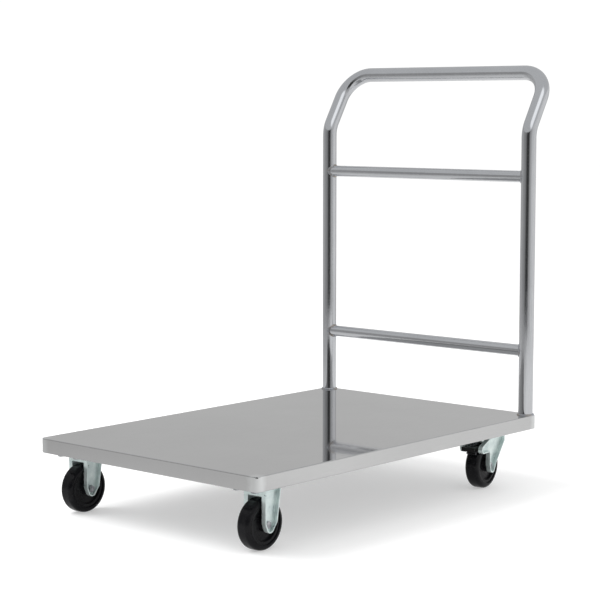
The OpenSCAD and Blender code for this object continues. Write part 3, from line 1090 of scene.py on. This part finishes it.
@dataclass
class Studio:
    """A pale floor, soft light, a wall that only the metal sees, and the camera."""

    camera_at: Vector = field(default_factory=lambda: Vector((-2.8653, -2.5009, 0.8233)))
    pitch: float = 83.92
    yaw: float = -48.598
    lens: float = 108.97
    daylight: float = 1.04
    floor_tone: float = 0.63
    floor_left: float = 0.20
    floor_right: float = 0.46
    right_heading: float = math.radians(-41)
    key_at: Vector = field(default_factory=lambda: Vector((-1.6, 2.2, 3.2)))
    key_size: float = 2.6
    key_power: float = 120.0
    ceiling: float = 0.62
    glow: float = 1.3
    glow_heading: float = math.radians(240)
    glow_rise: float = math.radians(43)
    wall_h: float = 1.6
    wall_r: float = 2.6
    tones: tuple[tuple[float, float], ...] = (
        (0.0, 0.62), (41.0, 0.56), (100.0, 0.50), (139.0, 0.36), (172.0, 0.27), (191.0, 0.10),
        (208.0, 0.03), (226.0, 0.07), (250.0, 0.46), (290.0, 0.76), (330.0, 0.85), (360.0, 0.62))

    def build(self) -> None:
        """Sets up the whole studio."""
        self.floor()
        self.sky()
        self.wall()
        self.lamp()
        self.camera()
        bpy.context.scene.view_settings.view_transform = "Standard"

    def floor(self) -> None:
        """A wide white floor, which the metal sees darker towards the left."""
        Bench.clear()
        bpy.ops.mesh.primitive_plane_add(size=80.0, location=(0.0, 0.0, 0.0))
        floor = Bench.named("studio_floor")
        mix = Recipe("floor_paper")
        mix.plain(Roughness=0.9, Emission_Strength=0.60)
        rays = mix.tree.nodes.new("ShaderNodeLightPath").outputs["Is Glossy Ray"]
        across = mix.axis(mix.mapped((1.0, 1.0, 1.0), Vector(), self.right_heading), "X")
        graded = mix.blend(mix.spread(across, -1.6, 0.6, 0.0, 1.0), (self.floor_left,) * 3,
                           (self.floor_right,) * 3)
        colour = mix.blend(rays, (self.floor_tone,) * 3, graded)
        mix.feed("Base Color", colour)
        mix.feed("Emission Color", colour)
        floor.data.materials.append(mix.material)

    def sky(self) -> None:
        """A white room for the eye and for light, with a grey ceiling in the reflections."""
        world = bpy.data.worlds.new("studio_room")
        bpy.context.scene.world = world
        world.use_nodes = True
        nodes, links = world.node_tree.nodes, world.node_tree.links
        nodes.clear()
        out = nodes.new("ShaderNodeOutputWorld")
        mixer = nodes.new("ShaderNodeMixShader")
        path = nodes.new("ShaderNodeLightPath")
        white = nodes.new("ShaderNodeBackground")
        white.inputs["Color"].default_value = (1.0, 1.0, 1.0, 1.0)
        white.inputs["Strength"].default_value = self.daylight
        ceiling = nodes.new("ShaderNodeBackground")
        ceiling.inputs["Color"].default_value = (0.98, 0.99, 1.0, 1.0)
        way = Vector((math.cos(self.glow_heading), math.sin(self.glow_heading),
                      math.tan(self.glow_rise))).normalized()
        dot = nodes.new("ShaderNodeVectorMath")
        dot.operation = "DOT_PRODUCT"
        dot.inputs[1].default_value = way
        links.new(nodes.new("ShaderNodeTexCoord").outputs["Generated"], dot.inputs[0])
        glow = nodes.new("ShaderNodeMapRange")
        glow.interpolation_type = "SMOOTHSTEP"
        for name, number in (("From Min", 0.90), ("From Max", 0.975),
                             ("To Min", self.ceiling), ("To Max", self.glow)):
            glow.inputs[name].default_value = number
        links.new(dot.outputs["Value"], glow.inputs["Value"])
        links.new(glow.outputs["Result"], ceiling.inputs["Strength"])
        links.new(path.outputs["Is Glossy Ray"], mixer.inputs[0])
        links.new(white.outputs[0], mixer.inputs[1])
        links.new(ceiling.outputs[0], mixer.inputs[2])
        links.new(mixer.outputs[0], out.inputs["Surface"])

    def wall(self) -> None:
        """A round wall that only shows in the metal, with a tone for each heading."""
        Bench.clear()
        bpy.ops.mesh.primitive_cylinder_add(
            vertices=128, radius=self.wall_r, depth=self.wall_h, end_fill_type="NOTHING",
            location=(0.0, 0.0, self.wall_h / 2))
        wall = Bench.named("studio_wall")
        mix = Recipe("wall_cards")
        mix.plain(Base_Color=(0.0, 0.0, 0.0, 1.0), Specular_IOR_Level=0.0, Roughness=1.0,
                  Emission_Strength=1.0)
        turn = mix.math("ARCTAN2", mix.axis(mix.place, "Y"), mix.axis(mix.place, "X"))
        whole = mix.math("FRACT", mix.math("DIVIDE", turn, math.tau))
        ramp = mix.tree.nodes.new("ShaderNodeValToRGB")
        ramp.color_ramp.interpolation = "EASE"
        stops = ramp.color_ramp.elements
        for number, (heading, tone) in enumerate(self.tones):
            stop = stops[number] if number < 2 else stops.new(1.0)
            stop.position = heading / 360.0
            stop.color = (tone, tone, tone, 1.0)
        mix.tree.links.new(whole, ramp.inputs["Fac"])
        mix.feed("Emission Color", ramp.outputs["Color"])
        wall.data.materials.append(mix.material)
        wall.visible_camera = False
        wall.visible_diffuse = False
        wall.visible_transmission = False
        wall.visible_shadow = False

    def lamp(self) -> None:
        """A large soft key light from the left, which the metal doesn't mirror."""
        Bench.clear()
        bpy.ops.object.light_add(type="AREA", location=self.key_at)
        key = bpy.context.active_object
        key.name = "key_light"
        key.data.size = self.key_size
        key.data.energy = self.key_power
        key.visible_glossy = False
        aim = Vector((0.0, 0.0, 0.1)) - key.location
        key.rotation_euler = aim.to_track_quat("-Z", "Y").to_euler()

    def camera(self) -> None:
        """The camera, a little above the handle's height and far off."""
        Bench.clear()
        bpy.ops.object.camera_add(location=self.camera_at, rotation=(
            math.radians(self.pitch), 0.0, math.radians(self.yaw)))
        camera = bpy.context.active_object
        camera.name = "main_camera"
        camera.data.lens = self.lens
        camera.data.sensor_width = 36.0
        camera.data.clip_end = 200.0
        bpy.context.scene.camera = camera


@dataclass
class Cart:
    """The whole cart."""

    shop: Shop

    def build(self) -> None:
        """Builds every sub-assembly in order."""
        Deck(self.shop).build()
        PushHandle(self.shop).build()
        wheel = Wheel(self.shop)
        for hand in Hand:
            RigidCaster(self.shop, wheel, hand).build()
            SwivelCaster(self.shop, wheel, hand).build()
        wheel.clean_up()
        Fasteners(self.shop).build()


def main() -> None:
    """Builds the cart and the studio."""
    logging.basicConfig(level=logging.INFO, format="%(message)s")
    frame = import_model()
    low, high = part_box("deck_tray")
    paint = Paintshop((low.x + high.x) / 2, (high.x - low.x) / 2, (high.y - low.y) / 2)
    Cart(Shop(frame, paint)).build()
    Studio().build()
    Bench.clear()


if __name__ == "__main__":
    main()
